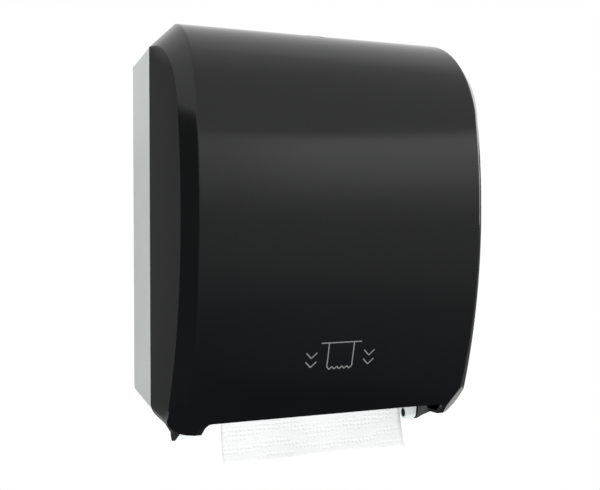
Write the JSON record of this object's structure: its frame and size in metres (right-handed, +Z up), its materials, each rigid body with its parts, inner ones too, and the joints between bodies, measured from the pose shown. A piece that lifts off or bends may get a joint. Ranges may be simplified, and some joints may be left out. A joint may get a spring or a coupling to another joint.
{
  "type": "roll towel dispenser",
  "caption": "Wall-hung paper towel dispenser with a bowed black cover hinged at its foot over a grey housing, a towel roll, and a feed drum with a built-in knife.",
  "frame": {"origin": "middle of the wall screws, on the back face of the housing", "axes": "+Y into the wall, +Z up, +X to the right of someone facing the dispenser"},
  "size_m": [0.337, 0.202, 0.4367],
  "materials": {
    "cover_black": "satin moulded black plastic",
    "housing_grey": "moulded light grey plastic",
    "frame_grey": "moulded dark grey plastic",
    "drum_grey": "moulded mid grey plastic",
    "acetal": "natural white acetal",
    "touch_blue": "moulded blue plastic on the hand wheel",
    "steel": "bright drawn steel",
    "blade_steel": "stamped blade steel",
    "zinc": "plated zinc",
    "rubber": "ground rubber",
    "paper": "embossed white tissue paper",
    "card": "brown cardboard tube"
  },
  "bodies": {
    "housing": {"rear_housing": "housing_grey", "side_frame_left": "frame_grey", "side_frame_right": "frame_grey", "drum_bush_left": "acetal", "drum_bush_right": "acetal", "roll_arm_left": "frame_grey", "roll_arm_right": "frame_grey", "rear_guide": "frame_grey", "front_guide": "frame_grey", "knife_cam": "acetal", "spring_post": "steel", "return_spring": "steel", "frame_screws": "steel", "arm_screws": "steel", "lock_keeper": "zinc", "keeper_screws": "steel", "tie_bars": "steel", "pinch_block_left": "acetal", "pinch_block_right": "acetal", "pinch_spring_left": "steel", "pinch_spring_right": "steel", "towel_sheet": "paper"},
    "cover": {"front_cover": "cover_black", "lock_body": "zinc"},
    "lock": {"lock_plug": "zinc", "lock_tongue": "steel", "lock_nut": "steel"},
    "towel_roll": {"paper_roll": "paper", "roll_core": "card", "roll_hub_left": "acetal", "roll_hub_right": "acetal"},
    "feed_drum": {"drum_shell": "drum_grey", "drum_cap_left": "drum_grey", "drum_cap_right": "drum_grey", "drum_shaft": "steel", "grip_bands": "rubber", "feed_wheel": "touch_blue", "crank_disc": "acetal", "crank_pin": "steel"},
    "knife": {"knife_holder": "acetal", "knife_blade": "blade_steel", "knife_pins": "steel", "cam_follower": "acetal", "knife_spring": "steel"},
    "pinch_roller": {"pinch_shaft": "steel", "pinch_sleeves": "rubber"}
  },
  "joints": [
    {"name": "cover_hinge", "type": "hinge", "parent": "housing", "child": "cover", "pos_m": [0, -0.073, -0.225], "axis": [1, 0, 0], "range_deg": [0, 100]},
    {"name": "lock_turn", "type": "hinge", "parent": "cover", "child": "lock", "pos_m": [0, -0.115, 0.18345], "axis": [0, 0.3149, -0.9491], "range_deg": [0, 90]},
    {"name": "roll_spin", "type": "hinge", "parent": "housing", "child": "towel_roll", "pos_m": [0, -0.1011, 0.078], "axis": [1, 0, 0], "continuous": true},
    {"name": "drum_spin", "type": "hinge", "parent": "housing", "child": "feed_drum", "pos_m": [0, -0.07, -0.085], "axis": [1, 0, 0], "continuous": true, "deforming": ["return_spring"]},
    {"name": "knife_swing", "type": "hinge", "parent": "feed_drum", "child": "knife", "pos_m": [0, -0.0485, -0.10423], "axis": [1, 0, 0], "range_deg": [0, 35], "stiffness_Nm_per_rad": 0.05, "springref_deg": -28.65},
    {"name": "pinch_spin", "type": "hinge", "parent": "housing", "child": "pinch_roller", "pos_m": [0, -0.11661, -0.06804], "axis": [1, 0, 0], "continuous": true}
  ],
  "couplings": [
    {"joint": "pinch_spin", "follows": "drum_spin", "ratio": -5.025},
    {"joint": "roll_spin", "follows": "drum_spin", "ratio": -0.5057}
  ]
}
